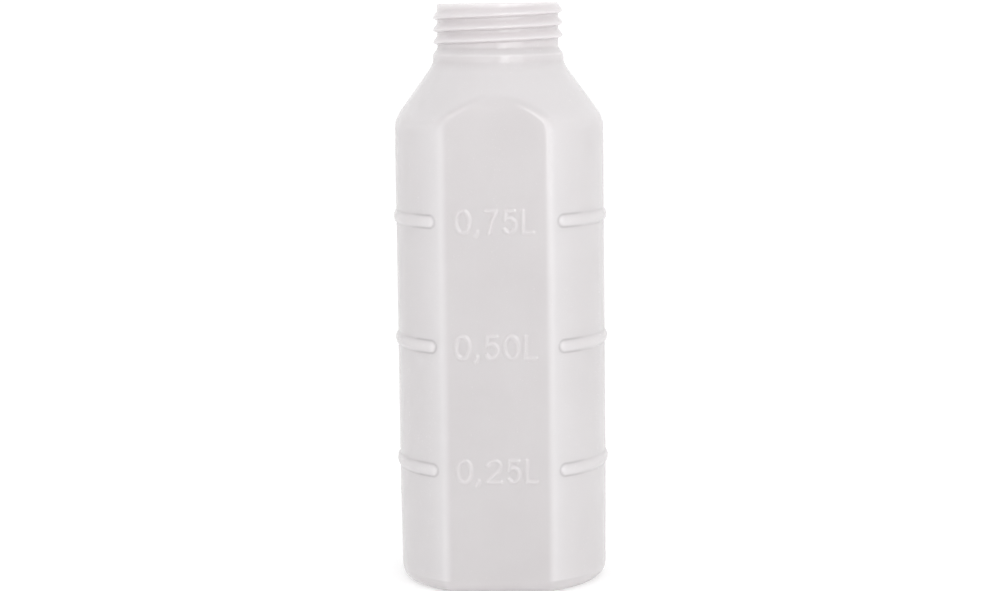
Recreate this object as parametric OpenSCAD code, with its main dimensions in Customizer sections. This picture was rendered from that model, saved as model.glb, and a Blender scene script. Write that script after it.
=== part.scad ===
// A one litre bottle with a wide screw neck, blown in one piece from natural polyethylene.
// The body is round at its two sides and has a flat front and a flat back.
// The origin is the middle of the base, Z points up, and the numerals face the front, which is minus Y.

/* [Body] */
// Height from the base to the rim
total_h = 238; // [215:1:270]
// Width from one round side to the other
body_w = 85.6; // [80:0.2:94]
// Depth from the front flat to the back flat
body_depth = 70.4; // [66:0.2:76]
// Radius that rounds the upright edges of the flats
flat_edge_r = 8; // [4:0.5:12]
// Radius that rounds the lower edge into the base
heel_r = 5.5; // [3:0.5:8]
// Wall of the body, the shoulder and the base
wall = 1.2; // [0.8:0.1:1.8]

/* [Base] */
// Diameter of the hollow in the middle of the base
push_up_d = 50; // [40:1:54]
// Height of that hollow
push_up_h = 3; // [1.5:0.5:5]

/* [Shoulder] */
// Lean of the shoulder away from upright, in degrees
shoulder_lean = 36; // [32:1:42]
// Radius between the shoulder and the body
shoulder_r = 12; // [8:1:16]
// Radius of the hollow curve between the collar and the shoulder
flare_r = 14; // [8:1:18]
// Lean of that curve where it leaves the collar, in degrees
flare_lean = 18; // [5:1:24]

/* [Neck] */
// Diameter of the neck between the threads
neck_d = 49.5; // [46:0.5:52]
// Height of the neck from the collar's slope to the rim
neck_h = 18.1; // [17.5:0.1:24]
// Wall of the neck, whose bore is straight
neck_wall = 1.8; // [1.4:0.1:2.4]
// Radius of the rim's outer edge
rim_r = 0.5; // [0.2:0.1:0.8]
// How far the collar stands out from the neck
collar_out = 1.95; // [1:0.05:3]
// Height of the collar's upright band
collar_h = 2.9; // [2:0.1:5]
// Height of the slope from the neck out to the collar
collar_slope_h = 2.6; // [1.5:0.1:4]

/* [Thread] */
// How far the thread stands out from the neck
thread_h = 1.85; // [1.2:0.05:2.2]
// Rise of the thread in one turn
thread_pitch = 4.95; // [4.8:0.05:5.2]
// Number of turns, with the run in and the run out
thread_turns = 2.9; // [2:0.1:3]
// Depth of the highest crest below the rim, at the right side
thread_top = 3.3; // [3.1:0.1:4]
// Width of the crest
thread_crest = 0.7; // [0.4:0.1:1]
// Height of the gentle upper flank
thread_upper = 2.2; // [1.5:0.1:2.3]
// Height of the steep lower flank
thread_lower = 0.75; // [0.4:0.05:0.8]
// Turn over which the thread fades out at each end, in degrees
thread_fade = 50; // [30:5:80]

/* [Marks] */
// Height of the lowest volume mark above the base
mark_first = 50.5; // [40:0.5:60]
// Distance from one volume mark to the next
mark_step = 50.5; // [40:0.5:55]
// Height of the ridge at each mark
ridge_w = 5.1; // [3:0.1:7]
// How far the ridge stands out from the body
ridge_out = 1; // [0.6:0.1:1.4]
// Angle from the side to the rounded end of a ridge, in degrees
ridge_half_angle = 54.7; // [40:0.1:56]
// Height of the numerals
digit_h = 10; // [6:0.5:14]
// Width of one numeral
digit_w = 6.4; // [4:0.2:7]
// Space from one numeral to the next
digit_gap = 1.3; // [1.2:0.1:2.5]
// Space that the comma takes
comma_space = 4.2; // [3:0.1:6]
// Width of the numerals' strokes
stroke_w = 1.6; // [0.8:0.1:2]
// How far the numerals stand out from the flat
numeral_out = 0.5; // [0.3:0.1:1]

/* [Hidden] */
$fn = 96;
natural_white = [0.86, 0.85, 0.86];

// The blanks that trim the body reach this far past it
past = 2;
// The blanks' arcs stop these degrees before they would touch, so that two faces cross cleanly
edge_short = 4;
heel_short = 12;
flat_lean_short = 6;
arc_steps = 10;

body_r = body_w / 2;
flat_y = body_depth / 2;
neck_r = neck_d / 2;
bore_r = neck_r - neck_wall;
collar_r = neck_r + collar_out;
slope_z = total_h - neck_h;
collar_z = slope_z - collar_slope_h;
flare_z = collar_z - collar_h;

// The flare and the shoulder's rounding are arcs that share the straight cone as their tangent
flare_c = [collar_r, flare_z] + flare_r * [cos(flare_lean), sin(flare_lean)];
cone_top = flare_c - flare_r * [cos(shoulder_lean), sin(shoulder_lean)];
cone_low_r = body_r - shoulder_r * (1 - cos(shoulder_lean));
cone_low_z = cone_top.y - (cone_low_r - cone_top.x) / tan(shoulder_lean);
body_top_z = cone_low_z - shoulder_r * sin(shoulder_lean);

// A flat rounds into the shoulder with the same radius, and its rounding meets the cone a little early
flat_lean = shoulder_lean - flat_lean_short;
flat_round_r = flat_y - shoulder_r * (1 - cos(flat_lean));
flat_round_z = cone_low_z + (cone_low_r - flat_round_r) / tan(shoulder_lean);
flat_top_z = flat_round_z - shoulder_r * sin(flat_lean);

// The hollow under the base is a piece of a sphere
push_up_r = push_up_d / 2;
dome_r = (push_up_r * push_up_r + push_up_h * push_up_h) / (2 * push_up_h);

// The upright edge of a flat is an arc that touches the flat and the round side
edge_c = [sqrt(pow(body_r - flat_edge_r, 2) - pow(flat_y - flat_edge_r, 2)), flat_edge_r - flat_y];
edge_turn = atan2(edge_c.x, -edge_c.y);

// The rounded section of a ridge comes from a circle through its two edges and its crest
ridge_tube_r = (ridge_w * ridge_w / 4 + ridge_out * ridge_out) / (2 * ridge_out);
ridge_ring_r = body_r + ridge_out - ridge_tube_r;
ridge_straight_turn = ridge_half_angle - asin(ridge_w / 2 / body_r);

ridge_bed = 0.6;

thread_steps = 36;
thread_bed = 0.3;
thread_start = 55;
numeral_bed = 3;
marks = [["0", ",", "2", "5", "L"], ["0", ",", "5", "0", "L"], ["0", ",", "7", "5", "L"]];

// Points on an arc about centre c, from one angle to another
function arc(c, r, from, to, steps = arc_steps) =
    [for (i = [0:steps]) let (a = from + (to - from) * i / steps) c + r * [cos(a), sin(a)]];

// Half outline of the round bottle from the axis to the top, drawn inward by inset and by neck_inset
function round_outline(inset, neck_inset, top) = concat(
    arc([0, push_up_h - dome_r], dome_r + inset, 90, 90 - asin(push_up_r / dome_r)),
    arc([body_r - heel_r, heel_r], heel_r - inset, -90, 0),
    arc([body_r - shoulder_r, body_top_z], shoulder_r - inset, 0, shoulder_lean),
    arc(flare_c, flare_r + inset, 180 + shoulder_lean, 180 + flare_lean),
    [[collar_r - inset, collar_z], [neck_r - neck_inset, slope_z]],
    top);

// Half outline, in depth and height, of the blank that gives the two flats
function flat_outline(inset) =
    let (
        heel_turn = 90 - heel_short,
        heel = arc([flat_y - heel_r, heel_r], heel_r - inset, -heel_turn, 0),
        round_end = [flat_round_r - inset * cos(flat_lean), flat_round_z - inset * sin(flat_lean)],
        lean_end_z = cone_top.y)
    concat(
        [[0, -past], [heel[0].x - (heel[0].y + past) * tan(heel_turn), -past]],
        heel,
        arc([flat_y - shoulder_r, flat_top_z], shoulder_r - inset, 0, flat_lean),
        [[round_end.x - (lean_end_z - round_end.y) * tan(flat_lean), lean_end_z],
         [round_end.x - (lean_end_z - round_end.y) * tan(flat_lean), total_h + past],
         [0, total_h + past]]);

// Front right quarter of the plan of the flats, out past the round side
function flat_plan_quarter(inset) =
    let (
        turn = edge_turn - edge_short,
        edge = arc(edge_c, flat_edge_r - inset, -90, turn - 90),
        last = edge[len(edge) - 1],
        out = body_r + past - last.x)
    concat([[0, inset - flat_y]], edge, [[body_r + past, last.y + out * tan(turn)]]);

function mirrored(points, x, y) = [for (p = points) [p.x * x, p.y * y]];

function reversed(points) = [for (i = [len(points) - 1:-1:0]) points[i]];

// The body's form: a round blank cut by the plan and by the side view of the flats
module form(inset, neck_inset, top) {
    quarter = flat_plan_quarter(inset);
    side = flat_outline(inset);
    intersection() {
        rotate_extrude() polygon(round_outline(inset, neck_inset, top));
        translate([0, 0, -past]) linear_extrude(total_h + 2 * past)
            polygon(concat(quarter, reversed(mirrored(quarter, 1, -1)),
                mirrored(quarter, -1, -1), reversed(mirrored(quarter, -1, 1))));
        rotate([90, 0, 90]) linear_extrude(body_w + 2 * past, center = true)
            polygon(concat(side, reversed(mirrored(side, -1, 1))));
    }
}

// Upper half of a ridge's section as radius and height, from the crest to a little below the wall's surface
function ridge_half(inset) =
    let (
        r = ridge_tube_r - inset,
        foot = body_r - inset - ridge_bed,
        turn = acos(max(0, (foot - ridge_ring_r) / r)))
    concat(arc([ridge_ring_r, 0], r, 0, turn), foot < ridge_ring_r ? [[foot, r]] : []);

// One ridge around a round side, with a rounded end towards each flat
module ridge(inset) {
    half = ridge_half(inset);
    lower_half = [for (p = half) if (p.y > 0) [p.x, -p.y]];
    foot = half[len(half) - 1].x;
    rotate(-ridge_straight_turn) rotate_extrude(angle = 2 * ridge_straight_turn)
        polygon(concat(half, reversed(lower_half)));
    for (end = [-ridge_straight_turn, ridge_straight_turn])
        rotate(end) rotate([0, 90, 0]) rotate_extrude()
            polygon(concat([for (p = half) [p.y, p.x]], [[0, foot]]));
}

module ridges(inset) {
    for (i = [0:len(marks) - 1], facing = [0, 180])
        translate([0, 0, mark_first + i * mark_step]) rotate(facing) ridge(inset);
}

function unit(v) = v / norm(v);

// Points at one side of a line of strokes, with a sharp corner where it bends
function beside(path, off) = [for (i = [0:len(path) - 1])
    let (
        before = unit(path[max(i, 1)] - path[max(i, 1) - 1]),
        after = unit(path[min(i + 1, len(path) - 1)] - path[min(i, len(path) - 2)]),
        n = [-before.y - after.y, before.x + after.x])
    path[i] + off * n / (1 + before * after)];

module stroke(path) {
    polygon(concat(beside(path, stroke_w / 2), reversed(beside(path, -stroke_w / 2))));
}

// A racetrack outline that is inset from a numeral's full size
module numeral_oval(inset) {
    r = digit_w / 2 - inset;
    straight = digit_h - digit_w;
    polygon(concat(arc([0, straight / 2], r, 0, 180), arc([0, -straight / 2], r, 180, 360)));
}

// One character, centred, with its strokes inside the numeral's width and height
module character(c) {
    w = (digit_w - stroke_w) / 2;
    h = (digit_h - stroke_w) / 2;
    if (c == "0") difference() {
        numeral_oval(0);
        numeral_oval(stroke_w);
    }
    if (c == "2") stroke(concat(arc([0, h - w], w, 165, -35), [[-w, -h], [w, -h]]));
    if (c == "5") {
        bowl_r = h * 0.64;
        stroke(concat([[w, h], [-w * 0.8, h]], arc([w - bowl_r, bowl_r - h], bowl_r, 128, -138)));
    }
    if (c == "7") stroke([[-w, h], [w, h], [-w * 0.4, -h]]);
    if (c == "L") stroke([[-w, h], [-w, -h], [w, -h]]);
    if (c == ",") stroke([[w * 0.2, stroke_w - h], [w * 0.2, -h], [-w * 0.3, -h - stroke_w]]);
}

// Places along the line of a mark's five characters: the comma takes less room than a numeral
numeral_step = digit_w + digit_gap;
mark_length = 3 * numeral_step + comma_space + digit_w;
character_x = [
    digit_w / 2,
    digit_w + (comma_space + digit_gap) / 2,
    comma_space + digit_w + numeral_step - digit_w / 2,
    comma_space + digit_w + 2 * numeral_step - digit_w / 2,
    comma_space + digit_w + 3 * numeral_step - digit_w / 2];

module numerals() {
    for (i = [0:len(marks) - 1], k = [0:len(marks[i]) - 1])
        translate([character_x[k] - mark_length / 2, numeral_bed - flat_y, mark_first + i * mark_step])
            rotate([90, 0, 0]) linear_extrude(numeral_bed + numeral_out) character(marks[i][k]);
}

// Section of the thread as radius and height about its crest, for a crest that stands out by h
function thread_section(h) =
    let (
        top = thread_crest / 2,
        upper_slope = thread_upper / thread_h,
        lower_slope = thread_lower / thread_h)
    [[neck_r - thread_bed, top + (h + thread_bed) * upper_slope],
     [neck_r + h, top],
     [neck_r + h, -top],
     [neck_r - thread_bed, -top - (h + thread_bed) * lower_slope]];

// A right hand thread that runs down from the back, and fades in and out there
module thread() {
    steps = round(thread_turns * thread_steps);
    size = len(thread_section(thread_h));
    rings = [for (i = [0:steps])
        let (
            turned = i * 360 / thread_steps,
            left = steps * 360 / thread_steps - turned,
            grown = min(turned, left, thread_fade) / thread_fade,
            h = (thread_h + thread_bed / 2) * grown - thread_bed / 2,
            a = thread_start - turned,
            z = total_h - thread_top + thread_pitch * a / 360)
        [for (p = thread_section(h)) [p.x * cos(a), p.x * sin(a), z + p.y]]];
    polyhedron(
        points = [for (ring = rings) each ring],
        faces = concat(
            [[for (j = [size - 1:-1:0]) j]],
            [for (i = [0:steps - 1], j = [0:size - 1])
                let (k = (j + 1) % size)
                [i * size + j, i * size + k, (i + 1) * size + k, (i + 1) * size + j]],
            [[for (j = [0:size - 1]) steps * size + j]]));
}

module bottle() {
    color(natural_white) union() {
        difference() {
            union() {
                form(0, 0, [[neck_r, total_h - rim_r], [neck_r - rim_r, total_h], [0, total_h]]);
                ridges(0);
                numerals();
            }
            form(wall, neck_wall, [[bore_r, total_h + past], [0, total_h + past]]);
            ridges(wall);
        }
        thread();
    }
}

bottle();
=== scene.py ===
"""Dresses the graduated bottle: its blown skin, its milky finish, the studio around it and the camera.

The skin is one closed shell. It is made of rings of points that run from the middle of the base, out and
up the outside, over the rim and down the inside. Sizes are in millimetres until the mesh is made, in the
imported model's own frame, and an angle is 0 at the front and grows towards the right side.
"""

import logging
import math
from dataclasses import dataclass, field
from enum import Enum

import bpy
import numpy as np
from mathutils import Matrix, Vector


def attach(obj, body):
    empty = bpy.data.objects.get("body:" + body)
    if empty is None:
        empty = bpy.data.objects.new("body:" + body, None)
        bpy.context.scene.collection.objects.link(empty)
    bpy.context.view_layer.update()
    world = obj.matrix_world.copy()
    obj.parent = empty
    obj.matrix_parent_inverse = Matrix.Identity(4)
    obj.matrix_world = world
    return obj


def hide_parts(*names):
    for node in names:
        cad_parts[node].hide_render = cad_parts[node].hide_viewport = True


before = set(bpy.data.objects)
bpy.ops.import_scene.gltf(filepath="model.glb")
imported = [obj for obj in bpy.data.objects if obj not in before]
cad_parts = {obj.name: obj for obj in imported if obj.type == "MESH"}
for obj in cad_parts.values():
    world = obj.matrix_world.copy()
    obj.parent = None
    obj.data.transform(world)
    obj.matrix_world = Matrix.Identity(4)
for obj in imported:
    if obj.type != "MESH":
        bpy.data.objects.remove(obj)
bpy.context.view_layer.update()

log = logging.getLogger("bottle")

MM = 0.001


# Small helpers on numbers


def smooth_min(a: np.ndarray, b: np.ndarray, k: float) -> np.ndarray:
    """Gives the lower of two values with their crossing rounded.

    Args:
        a: First values.
        b: Second values.
        k: How far apart the values may be while they still blend.

    Returns:
        The blended lower values.
    """
    h = np.clip(k - np.abs(a - b), 0.0, None) / k
    return np.minimum(a, b) - h * h * k / 4.0


def smooth_max(a: np.ndarray, b: np.ndarray, k: float) -> np.ndarray:
    """Gives the higher of two values with their crossing rounded.

    Args:
        a: First values.
        b: Second values.
        k: How far apart the values may be while they still blend.

    Returns:
        The blended higher values.
    """
    return -smooth_min(-np.asarray(a), -np.asarray(b), k)


def ease(t: np.ndarray) -> np.ndarray:
    """Turns a share from 0 to 1 into one that starts and ends gently."""
    t = np.clip(t, 0.0, 1.0)
    return t * t * (3.0 - 2.0 * t)


def arc_points(cx: float, cz: float, r: float, start: float, end: float, steps: int = 24) -> np.ndarray:
    """Gives points on an arc.

    Args:
        cx: Centre's distance from the axis.
        cz: Centre's height.
        r: Radius of the arc.
        start: First angle in degrees, 0 being outward and 90 upward.
        end: Last angle in degrees.
        steps: Number of stretches.

    Returns:
        An array of (radius, height) rows.
    """
    a = np.radians(np.linspace(start, end, steps + 1))
    return np.column_stack([cx + r * np.cos(a), cz + r * np.sin(a)])


# The bottle's forms


@dataclass(frozen=True)
class BottleSizes:
    """Sizes of the blown form, in millimetres and degrees.

    They are those of the part's own source, except that the body is 3.2 mm deeper and the flats' edges
    are tighter, as the photograph shows them.
    """

    height: float = 238.0
    width: float = 85.6
    depth: float = 73.6
    edge_r: float = 6.5
    heel_r: float = 5.5
    wall: float = 1.2
    hollow_d: float = 50.0
    hollow_h: float = 3.0
    lean: float = 36.0
    shoulder_r: float = 12.0
    flare_r: float = 14.0
    flare_lean: float = 18.0
    neck_d: float = 49.5
    neck_h: float = 18.1
    neck_wall: float = 1.8
    rim_r: float = 0.5
    collar_out: float = 1.95
    collar_h: float = 2.9
    slope_h: float = 2.6
    waist: float = 0.35
    waist_h: float = 45.0
    hollow_blend: float = 0.7
    corner_soft: float = 0.28
    read_step: float = 0.05
    read_spare: float = 5.0
    soft_reach: int = 30

    @property
    def body_r(self) -> float:
        """Radius of the round sides."""
        return self.width / 2

    @property
    def flat_y(self) -> float:
        """Distance from the axis to a flat."""
        return self.depth / 2

    @property
    def neck_r(self) -> float:
        """Radius of the neck between the threads."""
        return self.neck_d / 2

    @property
    def bore_r(self) -> float:
        """Radius of the neck's bore."""
        return self.neck_r - self.neck_wall

    @property
    def collar_r(self) -> float:
        """Radius of the collar under the thread."""
        return self.neck_r + self.collar_out

    @property
    def slope_z(self) -> float:
        """Height at which the plain neck starts."""
        return self.height - self.neck_h

    @property
    def collar_z(self) -> float:
        """Height of the collar's upper edge."""
        return self.slope_z - self.slope_h

    @property
    def flare_z(self) -> float:
        """Height of the collar's lower edge."""
        return self.collar_z - self.collar_h

    @property
    def flare_centre(self) -> tuple[float, float]:
        """Centre of the hollow curve under the collar."""
        a = math.radians(self.flare_lean)
        return self.collar_r + self.flare_r * math.cos(a), self.flare_z + self.flare_r * math.sin(a)

    @property
    def cone_top(self) -> tuple[float, float]:
        """Upper end of the straight cone."""
        a = math.radians(self.lean)
        cx, cz = self.flare_centre
        return cx - self.flare_r * math.cos(a), cz - self.flare_r * math.sin(a)

    def cone_height(self, radius: float) -> float:
        """Gives the height at which the cone has a radius."""
        x, z = self.cone_top
        return z - (radius - x) / math.tan(math.radians(self.lean))

    def shoulder_centre(self, reach: float) -> tuple[float, float]:
        """Gives the centre of the rounding between an upright wall and the cone.

        Args:
            reach: Distance of the upright wall from the axis.

        Returns:
            The centre's distance from the axis and its height.
        """
        a = math.radians(self.lean)
        low_r = reach - self.shoulder_r * (1 - math.cos(a))
        return reach - self.shoulder_r, self.cone_height(low_r) - self.shoulder_r * math.sin(a)

    def round_outline(self, inset: float, neck_inset: float) -> np.ndarray:
        """Gives the outline at the round sides, from the base to the rim.

        Args:
            inset: How far the body's outline is drawn inward.
            neck_inset: How far the neck's outline is drawn inward.

        Returns:
            An array of (radius, height) rows with rising heights.
        """
        cx, cz = self.shoulder_centre(self.body_r)
        fx, fz = self.flare_centre
        return np.vstack([
            arc_points(self.body_r - self.heel_r, self.heel_r, self.heel_r - inset, -90, 0),
            arc_points(cx, cz, self.shoulder_r - inset, 0, self.lean),
            arc_points(fx, fz, self.flare_r + inset, 180 + self.lean, 180 + self.flare_lean),
            [[self.collar_r - inset, self.collar_z]],
            [[self.neck_r - neck_inset, self.slope_z]],
            [[self.neck_r - neck_inset, self.height]],
        ])

    def flat_outline(self, inset: float) -> np.ndarray:
        """Gives the outline at the middle of a flat, which ends in the cone.

        Args:
            inset: How far the outline is drawn inward.

        Returns:
            An array of (depth, height) rows with rising heights.
        """
        cx, cz = self.shoulder_centre(self.flat_y)
        fx, fz = self.flare_centre
        return np.vstack([
            arc_points(self.flat_y - self.heel_r, self.heel_r, self.heel_r - inset, -90, 0),
            arc_points(cx, cz, self.shoulder_r - inset, 0, self.lean),
            arc_points(fx, fz, self.flare_r + inset, 180 + self.lean, 180 + self.flare_lean),
            [[self.collar_r - inset, self.height]],
        ])

    def reach_at(self, outline: np.ndarray, z: np.ndarray) -> np.ndarray:
        """Reads an outline at some heights, with its sharp bends softened above the shoulder.

        Args:
            outline: Rows of (distance, height).
            z: Heights to read.

        Returns:
            The distance from the axis at each height.
        """
        fine = np.arange(-self.read_spare, self.height + self.read_spare, self.read_step)
        reach = np.interp(fine, outline[:, 1], outline[:, 0])
        offsets = np.arange(-self.soft_reach, self.soft_reach + 1) * self.read_step
        taps = np.exp(-0.5 * (offsets / self.corner_soft) ** 2)
        soft = np.convolve(reach, taps / taps.sum(), mode="same")
        plain = np.interp(z, outline[:, 1], outline[:, 0])
        above_cone = ease((z - self.flare_z + 6.0) / 4.0)
        below_rim = ease(self.height - 1.5 - z)
        share = above_cone * below_rim
        return plain + (np.interp(z, fine, soft) - plain) * share

    def plan_reach(self, angle: np.ndarray, round_r: float, flat_y: float, edge_r: float) -> np.ndarray:
        """Gives the plan outline: a circle with two flats whose upright edges are rounded.

        Args:
            angle: Angles from the front, in radians.
            round_r: Radius of the round sides.
            flat_y: Distance of the flats from the axis.
            edge_r: Radius of the upright edges.

        Returns:
            The distance from the axis at each angle.
        """
        fold = np.arctan2(np.abs(np.sin(angle)), np.abs(np.cos(angle)))
        if round_r <= flat_y:
            return np.full_like(fold, round_r)
        cy = flat_y - edge_r
        cx = math.sqrt(max((round_r - edge_r) ** 2 - cy**2, 0.0))
        along = cx * np.sin(fold) + cy * np.cos(fold)
        edge = along + np.sqrt(np.clip(along**2 - cx**2 - cy**2 + edge_r**2, 0.0, None))
        flat = flat_y / np.maximum(np.cos(fold), 0.05)
        reach = np.where(fold < math.atan2(cx, cy), edge, round_r)
        return np.where(fold < math.atan2(cx, flat_y), flat, reach)

    def narrowing(self, z: np.ndarray) -> np.ndarray:
        """Gives how much the body shrinks towards the base, where the plastic cooled last."""
        return self.waist * (1.0 - ease(z / self.waist_h))

    def hollow(self, r: np.ndarray) -> np.ndarray:
        """Gives the height of the hollow base at a distance from the axis."""
        half = self.hollow_d / 2
        sphere = (half * half + self.hollow_h**2) / (2 * self.hollow_h)
        rise = self.hollow_h - sphere + np.sqrt(sphere**2 - np.asarray(r) ** 2)
        return smooth_max(rise, np.zeros_like(rise), self.hollow_blend)


@dataclass(frozen=True)
class NeckThread:
    """The right hand buttress thread around the neck, in millimetres and degrees.

    Its crests carry painted shade, darker by the share in dense.
    """

    out: float = 1.75
    pitch: float = 4.95
    turns: float = 2.9
    top: float = 3.3
    crest: float = 0.7
    upper: float = 2.2
    lower: float = 0.75
    fade: float = 50.0
    start: float = 55.0
    soft: float = 0.45
    # Share of painted shade on the thread's crests.
    dense: float = 0.35

    def relief(self, angle: np.ndarray, z: np.ndarray, height: float) -> np.ndarray:
        """Gives how far the thread stands out from the neck.

        Args:
            angle: Angles from the front, in radians.
            z: Heights, of the same shape as the angles.
            height: Height of the rim.

        Returns:
            The thread's height over the neck.
        """
        side = np.degrees(angle) - 90.0
        relief = np.zeros_like(z)
        for lap in range(-4, 3):
            at = side + 360.0 * lap
            turned = self.start - at
            left = self.turns * 360.0 - turned
            grown = np.clip(np.minimum(turned, left) / self.fade, -1.0, 1.0)
            off = z - (height - self.top + self.pitch * at / 360.0)
            crest = self.out * grown
            above = crest - (off - self.crest / 2) * self.out / self.upper
            below = crest + (off + self.crest / 2) * self.out / self.lower
            section = smooth_min(smooth_min(above, below, self.soft), crest, self.soft)
            relief = np.where(grown > 0, np.maximum(relief, smooth_max(section, 0.0, self.soft)), relief)
        return relief


class Side(Enum):
    """The round side that a ridge runs around, as the angle of its middle from the front."""

    RIGHT = 90.0
    LEFT = -90.0


@dataclass(frozen=True)
class SideRidge:
    """A rounded ridge around a round side at the height of a volume mark, hollow behind."""

    width: float = 5.1
    out: float = 1.0
    half_angle: float = 54.7
    foot_soft: float = 0.3
    # line and faint: width of the painted shade line at the ridge's foot, and its strength away from the
    # ends.
    line: float = 0.42
    faint: float = 0.25
    near: float = 5.0

    def spot(self, angle: np.ndarray, z: np.ndarray, body_r: float) -> tuple[np.ndarray, np.ndarray]:
        """Gives the distance from the ridge's centre line, for each round side the nearer one.

        Args:
            angle: Angles from the front, in radians.
            z: Heights from the middle of the ridge.
            body_r: Radius of the round sides.

        Returns:
            The distances, and how far each place lies beyond the straight part of the centre line.
        """
        straight = math.radians(self.half_angle) - math.asin(self.width / 2 / body_r)
        turn = np.full_like(z, np.pi)
        for side in Side:
            away = (angle - math.radians(side.value) + np.pi) % (2 * np.pi) - np.pi
            turn = np.minimum(turn, np.abs(away))
        along = (turn - straight) * body_r
        return np.hypot(np.clip(along, 0.0, None), z), along

    def painted_shade(self, angle: np.ndarray, z: np.ndarray, body_r: float) -> np.ndarray:
        """Gives the strength of the painted shade line around the ridge's foot, which is darkest at its
        ends.

        Args:
            angle: Angles from the front, in radians.
            z: Heights from the middle of the ridge.
            body_r: Radius of the round sides.

        Returns:
            A share from 0 to 1.
        """
        off, along = self.spot(angle, z, body_r)
        near_end = self.faint + (1.0 - self.faint) * ease((along + 13.0) / 7.0)
        return np.exp(-(((off - self.width / 2) / self.line) ** 2)) * near_end

    def reach(self, angle: np.ndarray, z: np.ndarray, body_r: float, inset: float) -> np.ndarray:
        """Gives the distance from the axis to the ridge's own surface.

        Args:
            angle: Angles from the front, in radians.
            z: Heights from the middle of the ridge.
            body_r: Radius of the round sides.
            inset: Depth under the ridge's outer surface, as for the inside of the wall.

        Returns:
            The distance, or a small one where there is no ridge.
        """
        tube = (self.width**2 / 4 + self.out**2) / (2 * self.out)
        off, _ = self.spot(angle, z, body_r)
        up = np.sqrt(np.clip((tube - inset) ** 2 - off**2, 0.0, None))
        return np.where(off < tube - inset, body_r + self.out - tube + up, 0.0)


@dataclass(frozen=True)
class VolumeMark:
    """A line of raised characters on the front flat. Its strokes are plain, round ended lines."""

    text: str
    level: float
    height: float = 10.0
    wide: float = 6.6
    five_w: float = 6.0
    seven_w: float = 5.4
    letter_w: float = 5.3
    gap: float = 1.7
    comma_space: float = 5.3
    middle: float = -0.6
    stroke: float = 1.25
    out: float = 0.26
    bevel: float = 0.8
    near: float = 8.0

    def width_of(self, character: str) -> float:
        """Gives the width of a digit or of the letter of litre."""
        return {"5": self.five_w, "7": self.seven_w, "L": self.letter_w}.get(character, self.wide)

    def strokes(self, character: str) -> list[np.ndarray]:
        """Gives the centre lines of one character about its own middle.

        Args:
            character: A digit, the comma or the letter of litre.

        Returns:
            Lines as arrays of (x, z) points.
        """
        w = (self.width_of(character) - self.stroke) / 2
        h = (self.height - self.stroke) / 2
        if character == "0":
            bend = 0.88
            turn = np.radians(np.linspace(0, 360, 49))
            cos, sin = np.cos(turn), np.sin(turn)
            x = np.sign(cos) * np.abs(cos) ** bend * w
            z = np.sign(sin) * np.abs(sin) ** bend * h
            return [np.column_stack([x, z])]
        if character == "2":
            return [np.vstack([arc_points(0.0, h - w, w, 165, -35), [[-w, -h], [w, -h]]])]
        if character == "5":
            turn = np.radians(np.linspace(140, -148, 29))
            rise = h * 0.66
            bowl = np.column_stack([w * np.cos(turn), rise - h + rise * np.sin(turn)])
            return [np.vstack([[[w * 0.8, h], [-w * 0.62, h]], bowl])]
        if character == "7":
            return [np.array([[-w, h], [w, h], [w * 0.2, 0.0], [-w * 0.35, -h]])]
        if character == "L":
            return [np.array([[-w, h], [-w, -h], [w, -h]])]
        return [np.array([[0.1, self.stroke * 0.6 - h], [0.1, -h - 0.2], [-0.5, -h - self.stroke * 1.2]])]

    def places(self) -> list[float]:
        """Gives the middle of each character along the line. The comma lies in a wider gap."""
        x = 0.0
        middles = []
        for i, character in enumerate(self.text):
            if character == ",":
                middles.append(x + self.comma_space * 0.44)
                x += self.comma_space
                continue
            room = self.width_of(character)
            middles.append(x + room / 2)
            x += room
            if i + 1 < len(self.text) and self.text[i + 1] != ",":
                x += self.gap
        return [m - x / 2 + self.middle for m in middles]

    def relief(self, x: np.ndarray, z: np.ndarray) -> np.ndarray:
        """Gives how far the characters stand out from the flat.

        Args:
            x: Places across the flat.
            z: Heights above the base.

        Returns:
            The relief at each place.
        """
        off = np.full(x.shape, 99.0)
        for middle, character in zip(self.places(), self.text):
            for line in self.strokes(character):
                px = x - middle
                pz = z - self.level
                for (ax, az), (bx, bz) in zip(line[:-1], line[1:]):
                    dx, dz = bx - ax, bz - az
                    t = np.clip(((px - ax) * dx + (pz - az) * dz) / max(dx * dx + dz * dz, 1e-9), 0.0, 1.0)
                    off = np.minimum(off, np.hypot(px - ax - t * dx, pz - az - t * dz))
        return self.out * ease((self.stroke / 2 + self.bevel / 2 - off) / self.bevel)


# Mesh making


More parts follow.
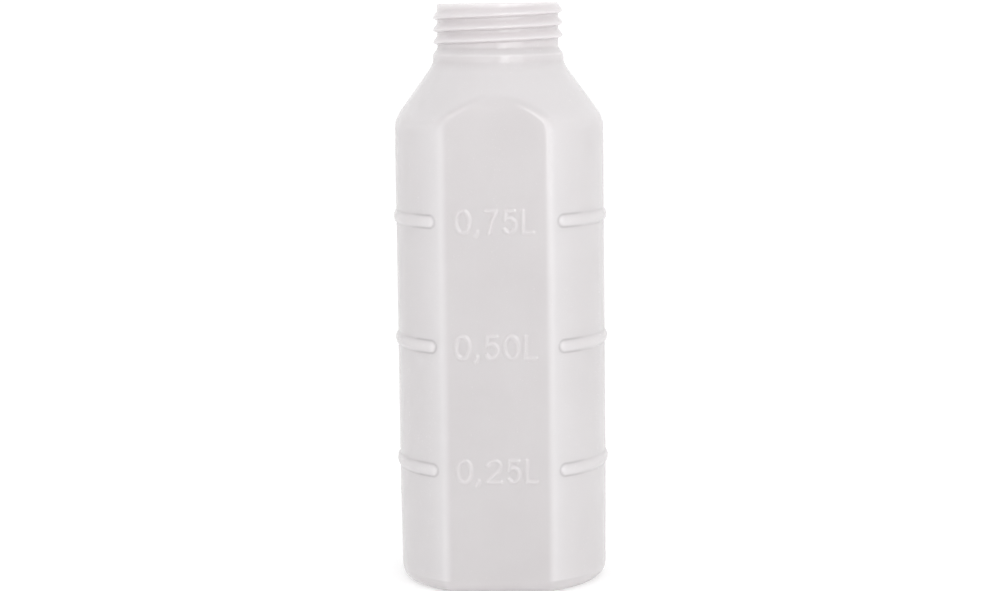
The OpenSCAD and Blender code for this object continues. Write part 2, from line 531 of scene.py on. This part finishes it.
@dataclass
class RingMesh:
    """Gathers closed rings of points and joins each one to the ring before it."""

    name: str
    points: list[np.ndarray] = field(default_factory=list)
    # These two lists hold, per point, the shares of painted shade and of painted highlight.
    painted_shades: list[np.ndarray] = field(default_factory=list)
    painted_highlight: list[np.ndarray] = field(default_factory=list)
    faces: list[tuple[int, ...]] = field(default_factory=list)
    count: int = 0
    last: tuple[int, np.ndarray] | None = None

    def start(self, x: float, y: float, z: float) -> None:
        """Starts the skin with a single point."""
        self.points.append(np.array([[x, y, z]]))
        self.painted_shades.append(np.zeros(1))
        self.painted_highlight.append(np.zeros(1))
        self.count = 1
        self.last = (0, np.zeros(1))

    def ring(
        self,
        angle: np.ndarray,
        reach: np.ndarray,
        z: np.ndarray,
        push: np.ndarray | float = 0.0,
        painted_shade: np.ndarray | float = 0.0,
        painted_highlight: np.ndarray | float = 0.0,
    ) -> None:
        """Adds a ring and joins it to the last one.

        Args:
            angle: Rising angles of the ring's points.
            reach: Distances from the axis.
            z: Heights.
            push: How far each point moves towards the front.
            painted_shade: Strength of the painted shade there.
            painted_highlight: Share of painted highlight there.
        """
        xyz = np.column_stack([reach * np.sin(angle), -reach * np.cos(angle) - push, z + 0.0 * angle])
        first = self.count
        self.points.append(xyz)
        self.painted_shades.append(np.zeros(len(xyz)) + painted_shade)
        self.painted_highlight.append(np.zeros(len(xyz)) + painted_highlight)
        self.count += len(xyz)
        before, old = self.last
        if len(old) == 1:
            self.faces += [(before, first + (j + 1) % len(angle), first + j) for j in range(len(angle))]
        elif len(old) == len(angle) and np.allclose(old, angle):
            n = len(angle)
            self.faces += [
                (before + j, before + (j + 1) % n, first + (j + 1) % n, first + j) for j in range(n)
            ]
        else:
            self.zip_rings(before, old, first, angle)
        self.last = (first, angle)

    def zip_rings(self, low: int, low_angle: np.ndarray, high: int, high_angle: np.ndarray) -> None:
        """Joins two rings that have different angles with triangles.

        Args:
            low: First point of the earlier ring.
            low_angle: Its angles.
            high: First point of the later ring.
            high_angle: Its angles.
        """
        n, m = len(low_angle), len(high_angle)
        a = np.append(low_angle, low_angle[0] + 2 * np.pi)
        b = np.append(high_angle, high_angle[0] + 2 * np.pi)
        i = j = 0
        while i < n or j < m:
            if j >= m or (i < n and a[i + 1] <= b[j + 1]):
                self.faces.append((low + i % n, low + (i + 1) % n, high + j % m))
                i += 1
            else:
                self.faces.append((low + i % n, high + (j + 1) % m, high + j % m))
                j += 1

    def close(self, x: float, y: float, z: float) -> None:
        """Ends the skin in a single point."""
        first, angle = self.last
        n = len(angle)
        self.points.append(np.array([[x, y, z]]))
        self.painted_shades.append(np.zeros(1))
        self.painted_highlight.append(np.zeros(1))
        self.faces += [(first + j, first + (j + 1) % n, self.count) for j in range(n)]
        self.count += 1

    def make(self) -> bpy.types.Object:
        """Makes the Blender object, in metres, with smooth faces.

        Returns:
            The new object.
        """
        mesh = bpy.data.meshes.new(self.name)
        mesh.from_pydata((np.vstack(self.points) * MM).tolist(), [], self.faces)
        mesh.update()
        mesh.shade_smooth()
        for name, values in (("painted_shade", self.painted_shades), ("painted_highlight", self.painted_highlight)):
            shares = mesh.attributes.new(name, "FLOAT", "POINT")
            shares.data.foreach_set("value", np.concatenate(values).astype(np.float32))
        piece = bpy.data.objects.new(self.name, mesh)
        bpy.context.scene.collection.objects.link(piece)
        return piece


def spread(stops: list[tuple[float, float]], least: float = 0.01) -> np.ndarray:
    """Gives places along a line, close together in some stretches.

    Args:
        stops: Pairs of where a stretch ends and the step in it. The first pair's step is not used.
        least: Length under which a stretch is left out.

    Returns:
        Rising places.
    """
    places = [stops[0][0]]
    for (begin, _), (end, size) in zip(stops[:-1], stops[1:]):
        if end - begin > least:
            number = max(1, round((end - begin) / size))
            places += list(np.linspace(begin, end, number + 1)[1:])
    return np.array(places)


@dataclass
class Bottle:
    """The whole bottle as one shell."""

    sizes: BottleSizes = field(default_factory=BottleSizes)
    thread: NeckThread = field(default_factory=NeckThread)
    ridge: SideRidge = field(default_factory=SideRidge)
    marks: tuple[VolumeMark, ...] = (
        VolumeMark("0,25L", 50.5),
        VolumeMark("0,50L", 101.0),
        VolumeMark("0,75L", 151.5),
    )
    seam: float = 0.10
    seam_w: float = 0.35
    weld: float = 0.45
    weld_w: float = 0.7
    # Share of painted highlight on the shoulder.
    shoulder_highlight: float = 0.6
    base_radii: tuple[float, ...] = (2.0, 4.0, 7.0, 10.0, 13.0, 16.0, 19.0, 21.5, 23.0, 24.0)
    foot_steps: tuple[float, ...] = (-0.4, 0.0, 0.5, 1.2)
    inner_radii: tuple[float, ...] = (22.0, 17.0, 11.0, 5.0)
    mark_half: float = 18.9
    front_half: float = 21.0

    def plain_columns(self, step: float) -> np.ndarray:
        """Gives evenly spread angles with closer ones at the rounded edges and the side seams.

        Args:
            step: Angle between two columns in degrees, away from the edges.

        Returns:
            Angles from the front, in radians, rising from -180 degrees.
        """
        quarter = spread([(0, 0), (29, step), (41, step * 0.45), (87, step), (90, step * 0.5)])
        half = np.concatenate([quarter, 180.0 - quarter[-2::-1]])
        return np.radians(np.concatenate([-half[::-1], half[1:-1]]))

    def mark_columns(self) -> np.ndarray:
        """Gives angles that are close together behind the characters and the ridges' ends.

        Returns:
            Angles from the front, in radians, rising from -180 degrees.
        """
        across = np.arange(0.0, self.mark_half + 0.01, 0.3)
        front = np.degrees(np.arctan2(across, self.sizes.flat_y))
        side = [(86.0, 2.6), (90.0, 1.0)]
        rest = spread([(front[-1], 0), (31.5, 0.8), (46.0, 0.75), *side])
        quarter = np.concatenate([front, rest[1:]])
        back = spread([(0, 0), (31.5, 4.0), (46.0, 0.9), *side])
        half = np.concatenate([quarter, 180.0 - back[-2::-1]])
        return np.radians(np.concatenate([-half[::-1], half[1:-1]]))

    def body_rows(self) -> np.ndarray:
        """Gives heights from the heel to the shoulder, close together at the volume marks."""
        stops = [(self.sizes.heel_r, 0.0)]
        for mark in self.marks:
            stops += [(mark.level - 7.0, 3.2), (mark.level + 5.8, 0.33)]
        stops.append((self.sizes.shoulder_centre(self.sizes.body_r)[1] - 0.6, 3.0))
        return spread(stops)

    def upper_rows(self) -> np.ndarray:
        """Gives heights from the shoulder to just under the rim."""
        s = self.sizes
        return spread([
            (self.body_rows()[-1], 0),
            (s.cone_top[1], 0.9),
            (s.flare_z - 0.6, 0.7),
            (s.slope_z + 0.3, 0.3),
            (s.height - s.rim_r, 0.25),
        ])

    def seam_line(self, angle: np.ndarray) -> np.ndarray:
        """Gives the faint line that the mould's joint leaves at both round sides."""
        off = (np.abs(angle) - np.pi / 2) * self.sizes.body_r
        return self.seam * np.exp(-(off / self.seam_w) ** 2)

    def outer_reach(self, angle: np.ndarray, z: float) -> np.ndarray:
        """Gives the outside of the bottle at one height above the heel.

        Args:
            angle: Angles from the front, in radians.
            z: The height.

        Returns:
            Distances from the axis.
        """
        s = self.sizes
        at = np.array([z])
        round_r = float(s.reach_at(s.round_outline(0.0, 0.0), at)[0])
        flat_y = float(s.reach_at(s.flat_outline(0.0), at)[0])
        reach = s.plan_reach(angle, round_r, flat_y, s.edge_r) - s.narrowing(at)
        for mark in self.marks:
            if abs(z - mark.level) < self.ridge.near:
                own = self.ridge.reach(angle, np.full_like(angle, z - mark.level), s.body_r, 0.0)
                reach = smooth_max(reach, own, self.ridge.foot_soft)
        if z < s.collar_z:
            reach = reach + self.seam_line(angle)
        if z > s.slope_z - 2.0:
            turned = self.thread.relief(angle, np.full_like(angle, z), s.height)
            reach = reach + turned * ease((s.height - z) / 0.6)
        return reach

    def inner_reach(self, angle: np.ndarray, z: float) -> np.ndarray:
        """Gives the inside of the wall at one height above the inner base.

        Args:
            angle: Angles from the front, in radians.
            z: The height.

        Returns:
            Distances from the axis.
        """
        s = self.sizes
        at = np.array([z])
        round_r = float(s.reach_at(s.round_outline(s.wall, s.neck_wall), at)[0])
        flat_y = float(s.reach_at(s.flat_outline(s.wall), at)[0])
        reach = s.plan_reach(angle, round_r, flat_y, s.edge_r - s.wall) - s.narrowing(at)
        for mark in self.marks:
            if abs(z - mark.level) < self.ridge.near:
                own = self.ridge.reach(angle, np.full_like(angle, z - mark.level), s.body_r, s.wall)
                reach = smooth_max(reach, own, self.ridge.foot_soft)
        return reach

    def painted_highlight_share(self, angle: np.ndarray, z: float) -> np.ndarray:
        """Gives the share of painted highlight: light stripes beside the flats' edges and a lighter
        shoulder off the flats, where the light falls.

        Args:
            angle: Angles from the front, in radians.
            z: The height.

        Returns:
            A share from 0 to 1.
        """
        fold = np.degrees(np.arctan2(np.abs(np.sin(angle)), np.abs(np.cos(angle))))
        # Painted highlight stripes beside the flats' edges, then a painted lighter shoulder.
        edge = ease((fold - 27.5) / 4.5) * np.exp(-np.clip(fold - 33.0, 0.0, None) / 16.0)
        shoulder = float(ease(np.array((z - 186.0) / 9.0)))
        neck = float(ease(np.array((z - 210.5) / 5.0)))
        behind_flat = self.sizes.flat_y - 0.2 - self.outer_reach(angle, z) * np.cos(angle)
        off_flat = ease(np.where(np.cos(angle) > 0, np.clip(behind_flat / 2.5, 0.0, 1.0), 1.0))
        return edge * (1.0 - shoulder) + shoulder * (1.0 - neck) * self.shoulder_highlight * off_flat

    def weld_line(self, angle: np.ndarray, reach: np.ndarray) -> np.ndarray:
        """Gives the pinched weld that runs across the base from side to side.

        Args:
            angle: Angles from the front, in radians.
            reach: Distances from the axis.

        Returns:
            How far the weld hangs down from the hollow base.
        """
        across = reach * np.cos(angle)
        ends = ease((self.sizes.hollow_d / 2 - 1.5 - reach) / 3.0)
        return self.weld * np.exp(-((across / self.weld_w) ** 2)) * ends

    def add_base(self, skin: RingMesh, angle: np.ndarray) -> None:
        """Adds the hollow base, the ring that the bottle stands on and the heel.

        Args:
            skin: The skin so far.
            angle: Angles of the rings' points.
        """
        s = self.sizes
        skin.start(0.0, 0.0, float(s.hollow(0.0)) - self.weld)
        half = s.hollow_d / 2
        foot = [half + step for step in self.foot_steps]
        for r in [*self.base_radii, *foot]:
            reach = np.full_like(angle, r)
            skin.ring(angle, reach, s.hollow(reach) - self.weld_line(angle, reach))
        waist = float(s.narrowing(np.zeros(1))[0])
        flat = s.plan_reach(angle, s.body_r - s.heel_r, s.flat_y - s.heel_r, s.edge_r - s.heel_r) - waist
        for share in (0.35, 0.7):
            reach = foot[-1] * (1 - share) + flat * share
            skin.ring(angle, reach, 0.0 * angle)
        for turn in np.radians(np.linspace(0, 90, 13)[:-1]):
            inset = s.heel_r * (1 - math.sin(turn))
            z = s.heel_r * (1 - math.cos(turn))
            reach = s.plan_reach(angle, s.body_r - inset, s.flat_y - inset, s.edge_r - inset)
            skin.ring(angle, reach - s.narrowing(np.array([z])), z + 0.0 * angle)

    def add_body(self, skin: RingMesh, angle: np.ndarray) -> None:
        """Adds the body with its ridges and its raised characters.

        Args:
            skin: The skin so far.
            angle: Angles of the rings' points.
        """
        front = np.abs(angle) < math.atan2(self.front_half, self.sizes.flat_y)
        for z in self.body_rows():
            reach = self.outer_reach(angle, z)
            push = np.zeros_like(angle)
            painted_shade = np.zeros_like(angle)
            for mark in self.marks:
                if abs(z - mark.level) < self.ridge.near:
                    up = np.full_like(angle, z - mark.level)
                    # Painted shade line around the ridge's foot.
                    painted_shade = self.ridge.painted_shade(angle, up, self.sizes.body_r)
                if abs(z - mark.level) < mark.near:
                    x = reach * np.sin(angle)
                    push = push + np.where(front, mark.relief(x, np.full_like(x, z)), 0.0)
            skin.ring(angle, reach, z + 0.0 * angle, push, painted_shade, self.painted_highlight_share(angle, z))

    def add_upper(self, skin: RingMesh, angle: np.ndarray) -> None:
        """Adds the shoulder, the collar, the threaded neck and the rim.

        Args:
            skin: The skin so far.
            angle: Angles of the rings' points.
        """
        s = self.sizes
        for z in self.upper_rows()[1:]:
            # Painted shade on the thread's crests, by how high the thread stands.
            thread_rise = self.thread.relief(angle, np.full_like(angle, z), s.height) / self.thread.out
            dense = thread_rise * self.thread.dense
            reach = self.outer_reach(angle, z)
            skin.ring(angle, reach, z + 0.0 * angle, 0.0, dense, self.painted_highlight_share(angle, z))
        for turn in np.radians([22.5, 45.0, 67.5, 90.0]):
            r = s.neck_r - s.rim_r * (1 - math.cos(turn))
            z = s.height - s.rim_r * (1 - math.sin(turn))
            skin.ring(angle, np.full_like(angle, r), z + 0.0 * angle)
        for turn in np.radians([90.0, 60.0, 30.0, 0.0]):
            r = s.bore_r + s.rim_r * (1 - math.cos(turn))
            z = s.height - s.rim_r * (1 - math.sin(turn))
            skin.ring(angle, np.full_like(angle, r), z + 0.0 * angle)

    def add_inside(self, skin: RingMesh, angle: np.ndarray) -> None:
        """Adds the inside of the wall, from the rim down to the inner base.

        Args:
            skin: The skin so far.
            angle: Angles of the rings' points.
        """
        s = self.sizes
        stops = [(s.heel_r, 0.0)]
        for mark in self.marks:
            stops += [(mark.level - 3.6, 4.0), (mark.level + 3.6, 0.6)]
        stops += [
            (s.shoulder_centre(s.body_r)[1], 4.0),
            (s.cone_top[1], 1.4),
            (s.slope_z + 1.0, 0.6),
            (s.height - s.rim_r - 1.0, 2.5),
        ]
        for z in spread(stops)[::-1]:
            skin.ring(angle, self.inner_reach(angle, z), z + 0.0 * angle)
        for turn in np.radians(np.linspace(90, 0, 7)[1:]):
            inset = s.wall + (s.heel_r - s.wall) * (1 - math.sin(turn))
            z = s.heel_r - (s.heel_r - s.wall) * math.cos(turn)
            reach = s.plan_reach(angle, s.body_r - inset, s.flat_y - inset, s.edge_r - inset)
            skin.ring(angle, reach - s.narrowing(np.array([z])), z + 0.0 * angle)
        for r in (s.hollow_d / 2 + 1.5, s.hollow_d / 2, *self.inner_radii):
            reach = np.full_like(angle, r)
            skin.ring(angle, reach, s.hollow(reach) + s.wall)
        skin.close(0.0, 0.0, float(s.hollow(0.0)) + s.wall)

    def build(self) -> bpy.types.Object:
        """Builds the shell.

        Returns:
            The bottle as a Blender object.
        """
        skin = RingMesh("bottle_skin")
        self.add_base(skin, self.plain_columns(2.4))
        self.add_body(skin, self.mark_columns())
        self.add_upper(skin, self.plain_columns(2.0))
        self.add_inside(skin, self.plain_columns(3.0))
        return skin.make()

    def dress(self, piece: bpy.types.Object, finish: "MilkyPlastic") -> None:
        """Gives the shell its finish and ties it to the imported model.

        Args:
            piece: The shell.
            finish: The finish of the plastic.
        """
        piece.data.materials.append(finish.material())
        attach(piece, "root")
        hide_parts("bottle")


# Finishes


class Wire:
    """A shader socket whose operators add the nodes that work them out."""

    def __init__(self, graph: "Graph", socket: bpy.types.NodeSocket) -> None:
        """Keeps the socket and the graph that it belongs to."""
        self.graph = graph
        self.socket = socket

    def maths(self, operation: str, *others: "Wire | float") -> "Wire":
        """Adds a Math node that starts from this value.

        Args:
            operation: The node's operation.
            others: Its other values.

        Returns:
            The node's result.
        """
        values = {i: v for i, v in enumerate((self, *others))}
        return self.graph.add("ShaderNodeMath", {"operation": operation}, values)

    def __add__(self, other: "Wire | float") -> "Wire":
        """Adds two values."""
        return self.maths("ADD", other)

    def __radd__(self, other: float) -> "Wire":
        """Adds a value to a number."""
        return self.maths("ADD", other)

    def __sub__(self, other: "Wire | float") -> "Wire":
        """Subtracts a value."""
        return self.maths("SUBTRACT", other)

    def __rsub__(self, other: float) -> "Wire":
        """Subtracts this value from a number."""
        return self.graph.add("ShaderNodeMath", {"operation": "SUBTRACT"}, {0: other, 1: self})

    def __mul__(self, other: "Wire | float") -> "Wire":
        """Multiplies two values."""
        return self.maths("MULTIPLY", other)

    def __rmul__(self, other: float) -> "Wire":
        """Multiplies a number by this value."""
        return self.maths("MULTIPLY", other)

    def ramp(self, low: float, high: float) -> "Wire":
        """Turns a value into a share that runs smoothly from 0 at low to 1 at high."""
        settings = {"interpolation_type": "SMOOTHSTEP"}
        values = {"Value": self, "From Min": low, "From Max": high}
        return self.graph.add("ShaderNodeMapRange", settings, values)


class Graph:
    """The node tree of a material or of the studio's air."""

    def __init__(self, owner: bpy.types.Material | bpy.types.World) -> None:
        """Empties the owner's node tree.

        Args:
            owner: What the tree belongs to.
        """
        owner.use_nodes = True
        self.owner = owner
        self.tree = owner.node_tree
        self.tree.nodes.clear()

    def add(
        self,
        kind: str,
        settings: dict | None = None,
        values: dict | None = None,
        out: int | str = 0,
    ) -> Wire:
        """Adds a node.

        Args:
            kind: The node's type.
            settings: Properties that are set first.
            values: Values or wires of its sockets, by name or number.
            out: Which of its outputs to give back.

        Returns:
            The output.
        """
        node = self.tree.nodes.new(kind)
        for key, value in (settings or {}).items():
            setattr(node, key, value)
        for key, value in (values or {}).items():
            if isinstance(value, Wire):
                self.tree.links.new(value.socket, node.inputs[key])
            else:
                node.inputs[key].default_value = value
        return Wire(self, node.outputs[out])

    def noise(self, place: Wire, scale: float, detail: float, rough: float = 0.5) -> Wire:
        """Adds a cloudy value about 0.5.

        Args:
            place: Where to read it.
            scale: Its fineness.
            detail: Number of finer layers.
            rough: Strength of the finer layers.

        Returns:
            The value.
        """
        values = {"Vector": place, "Scale": scale, "Detail": detail, "Roughness": rough}
        return self.add("ShaderNodeTexNoise", None, values)

    def mix_colours(self, share: Wire, a: "Wire | tuple", b: "Wire | tuple") -> Wire:
        """Mixes two colours.

        Args:
            share: Share of the second colour.
            a: First colour.
            b: Second colour.

        Returns:
            The mixed colour.
        """
        first, second = (c if isinstance(c, Wire) else (*c, 1.0) for c in (a, b))
        return self.add("ShaderNodeMix", {"data_type": "RGBA"}, {0: share, 6: first, 7: second}, 2)

    def attribute(self, name: str) -> Wire:
        """Reads a share that the mesh carries."""
        return self.add("ShaderNodeAttribute", {"attribute_name": name}, out="Fac")

    def bump(self, height: Wire, strength: float, distance: float, normal: Wire | None = None) -> Wire:
        """Adds a bump.

        Args:
            height: The height that is raised.
            strength: Strength of the effect.
            distance: Height in metres of a value of one.
            normal: A bump that lies under this one.

        Returns:
            The bumped normal.
        """
        values = {"Height": height, "Strength": strength, "Distance": distance}
        if normal is not None:
            values["Normal"] = normal
        return self.add("ShaderNodeBump", None, values)

    def finish(self, shader: Wire, kind: str = "ShaderNodeOutputMaterial") -> bpy.types.ID:
        """Ends the tree in a shader.

        Args:
            shader: The shader to end in.
            kind: Type of the output node.

        Returns:
            The owner of the tree.
        """
        self.tree.links.new(shader.socket, self.tree.nodes.new(kind).inputs["Surface"])
        return self.owner


@dataclass(frozen=True)
class MilkyPlastic:
    """Natural polyethylene: milky, satin, faintly uneven as a blown wall is, with painted highlight beside
    the flats' edges and on the shoulder and painted shade at the ridges' feet and on the thread's crests.
    Lengths are in metres.
    """

    # light is the colour of the painted highlight beside the flats' edges and on the shoulder.
    light: tuple[float, float, float] = (0.69, 0.66, 0.672)
    pale: tuple[float, float, float] = (0.595, 0.566, 0.574)
    dense: tuple[float, float, float] = (0.57, 0.541, 0.549)
    neck: tuple[float, float, float] = (0.60, 0.57, 0.578)
    neck_from: float = 0.2125
    neck_to: float = 0.2205
    # shade and line: colour and strength of the painted shade at the ridges' feet and on the thread's
    # crests.
    shade: tuple[float, float, float] = (0.45, 0.43, 0.44)
    line: float = 0.7
    roughness: float = 0.25
    grain_rough: float = 0.12
    streak_rough: float = 0.04
    depth: float = 0.005
    gloss: float = 0.8
    ior: float = 1.5
    wave_h: float = 0.0003
    streak_h: float = 0.00004
    grain_h: float = 0.00003

    def material(self) -> bpy.types.Material:
        """Builds the material.

        Returns:
            The material of the whole bottle.
        """
        g = Graph(bpy.data.materials.new("milky_polyethylene"))
        place = g.add("ShaderNodeTexCoord", out="Object")
        stretch = g.add("ShaderNodeVectorMath", {"operation": "MULTIPLY"}, {0: place, 1: (1.0, 1.0, 0.045)})
        clouds = g.noise(place, 26.0, 3.0)
        streaks = g.noise(stretch, 260.0, 4.0, 0.6)
        grain = g.noise(place, 1500.0, 3.0, 0.6)
        waves = g.noise(place, 34.0, 1.5, 0.4)
        share = (clouds * 0.9 + streaks * 0.1).ramp(0.3, 0.72)
        colour = g.mix_colours(share, self.pale, self.dense)
        # Painted highlight: lighter colour beside the flats' edges and on the shoulder.
        colour = g.mix_colours(g.attribute("painted_highlight"), colour, self.light)
        height = g.add("ShaderNodeSeparateXYZ", None, {0: place}, "Z")
        colour = g.mix_colours(height.ramp(self.neck_from, self.neck_to), colour, self.neck)
        # Painted shade: darker colour at the ridges' feet and on the thread's crests.
        colour = g.mix_colours(g.attribute("painted_shade") * self.line, colour, self.shade)
        rough = self.roughness + (grain - 0.5) * self.grain_rough + (streaks - 0.5) * self.streak_rough
        normal = g.bump(waves, 1.0, self.wave_h)
        normal = g.bump(streaks, 0.12, self.streak_h, normal)
        normal = g.bump(grain, 0.30, self.grain_h, normal)
        shader = g.add("ShaderNodeBsdfPrincipled", None, {
            "Base Color": colour,
            "Roughness": rough,
            "Normal": normal,
            "IOR": self.ior,
            "Subsurface Weight": 1.0,
            "Subsurface Radius": (1.0, 1.0, 1.0),
            "Subsurface Scale": self.depth,
            "Specular IOR Level": self.gloss,
        })
        return g.finish(shader)


@dataclass(frozen=True)
class PaleFloor:
    """The plain white floor of the studio, which glows a little so that no dark shadow lies on it."""

    colour: tuple[float, float, float, float] = (0.6, 0.6, 0.6, 1.0)
    glow: float = 0.42
    roughness: float = 0.9

    def material(self) -> bpy.types.Material:
        """Builds the floor's material."""
        g = Graph(bpy.data.materials.new("studio_white"))
        shader = g.add("ShaderNodeBsdfPrincipled", None, {
            "Base Color": self.colour,
            "Roughness": self.roughness,
            "Specular IOR Level": 0.0,
            "Emission Color": (1.0, 1.0, 1.0, 1.0),
            "Emission Strength": self.glow,
        })
        return g.finish(shader)


# The studio


@dataclass(frozen=True)
class Softbox:
    """A soft rectangular light that faces the bottle."""

    name: str
    place: tuple[float, float, float]
    width: float
    height: float
    power: float
    colour: tuple[float, float, float] = (1.0, 1.0, 1.0)
    aim: tuple[float, float, float] = (0.0, 0.0, 0.12)

    def build(self) -> bpy.types.Object:
        """Places the light.

        Returns:
            The light.
        """
        data = bpy.data.lights.new(self.name, "AREA")
        data.shape = "RECTANGLE"
        data.size = self.width
        data.size_y = self.height
        data.energy = self.power
        data.color = self.colour
        light = bpy.data.objects.new(self.name, data)
        light.location = self.place
        light.rotation_euler = (Vector(self.aim) - Vector(self.place)).to_track_quat("-Z", "Y").to_euler()
        bpy.context.scene.collection.objects.link(light)
        return light


@dataclass(frozen=True)
class Studio:
    """A white floor, an even pale surround and a few soft lights."""

    surround: float = 1.09
    floor_size: float = 300.0
    lights: tuple[Softbox, ...] = (
        Softbox("near_right_light", (0.363, -1.455, 0.45), 0.3, 1.1, 4.2),
        Softbox("far_right_light", (0.923, -1.182, 0.45), 0.3, 1.1, 2.4),
        Softbox("left_light", (-0.634, -1.359, 0.45), 0.3, 1.1, 1.0),
    )

    def build(self) -> None:
        """Builds the floor, the lights and the surround."""
        half = self.floor_size / 2
        mesh = bpy.data.meshes.new("studio_floor")
        corners = [(-half, -half, 0.0), (half, -half, 0.0), (half, half, 0.0), (-half, half, 0.0)]
        mesh.from_pydata(corners, [], [(0, 1, 2, 3)])
        floor = bpy.data.objects.new("studio_floor", mesh)
        bpy.context.scene.collection.objects.link(floor)
        floor.data.materials.append(PaleFloor().material())
        for light in self.lights:
            light.build()
        bpy.context.scene.world = self.air()
        bpy.context.scene.view_settings.view_transform = "Standard"

    def air(self) -> bpy.types.World:
        """Builds the even white surround."""
        g = Graph(bpy.data.worlds.new("studio_air"))
        white = {"Color": (1.0, 1.0, 1.0, 1.0), "Strength": self.surround}
        return g.finish(g.add("ShaderNodeBackground", None, white), "ShaderNodeOutputWorld")


@dataclass(frozen=True)
class Viewpoint:
    """The camera at the photograph's angle."""

    distance: float = 1.0046
    height: float = 0.240
    azimuth: float = 2.6
    pitch: float = 6.95
    roll: float = 0.71
    aside: float = -0.0004
    focal_px: float = 2440.0
    frame_px: float = 1000.0
    sensor: float = 36.0
    far: float = 400.0

    def build(self) -> bpy.types.Object:
        """Places the camera.

        Returns:
            The camera.
        """
        turn = math.radians(self.azimuth)
        dip = math.radians(self.pitch)
        lean = math.radians(self.roll)
        ahead = Vector((-math.sin(turn) * math.cos(dip), math.cos(turn) * math.cos(dip), -math.sin(dip)))
        right = Vector((math.cos(turn), math.sin(turn), 0.0))
        up = right.cross(ahead)
        tilted_up = up * math.cos(lean) + right * math.sin(lean)
        tilted_right = right * math.cos(lean) - up * math.sin(lean)
        place = Vector((self.distance * math.sin(turn), -self.distance * math.cos(turn), self.height))
        place += right * self.aside
        data = bpy.data.cameras.new("camera")
        data.sensor_width = self.sensor
        data.lens = self.focal_px / self.frame_px * self.sensor
        data.clip_end = self.far
        camera = bpy.data.objects.new("camera", data)
        axes = Matrix((tilted_right, tilted_up, -ahead)).transposed()
        camera.matrix_world = Matrix.Translation(place) @ axes.to_4x4()
        bpy.context.scene.collection.objects.link(camera)
        bpy.context.scene.camera = camera
        return camera


def main() -> None:
    """Builds the bottle, the studio and the camera in order."""
    logging.basicConfig(level=logging.INFO, format="%(message)s")
    Viewpoint().build()
    bottle = Bottle()
    piece = bottle.build()
    bottle.dress(piece, MilkyPlastic())
    log.info("bottle_skin: %d points, %d faces", len(piece.data.vertices), len(piece.data.polygons))
    studio = Studio()
    studio.build()
    log.info("studio: %d lights", len(studio.lights))


if __name__ == "__main__":
    main()
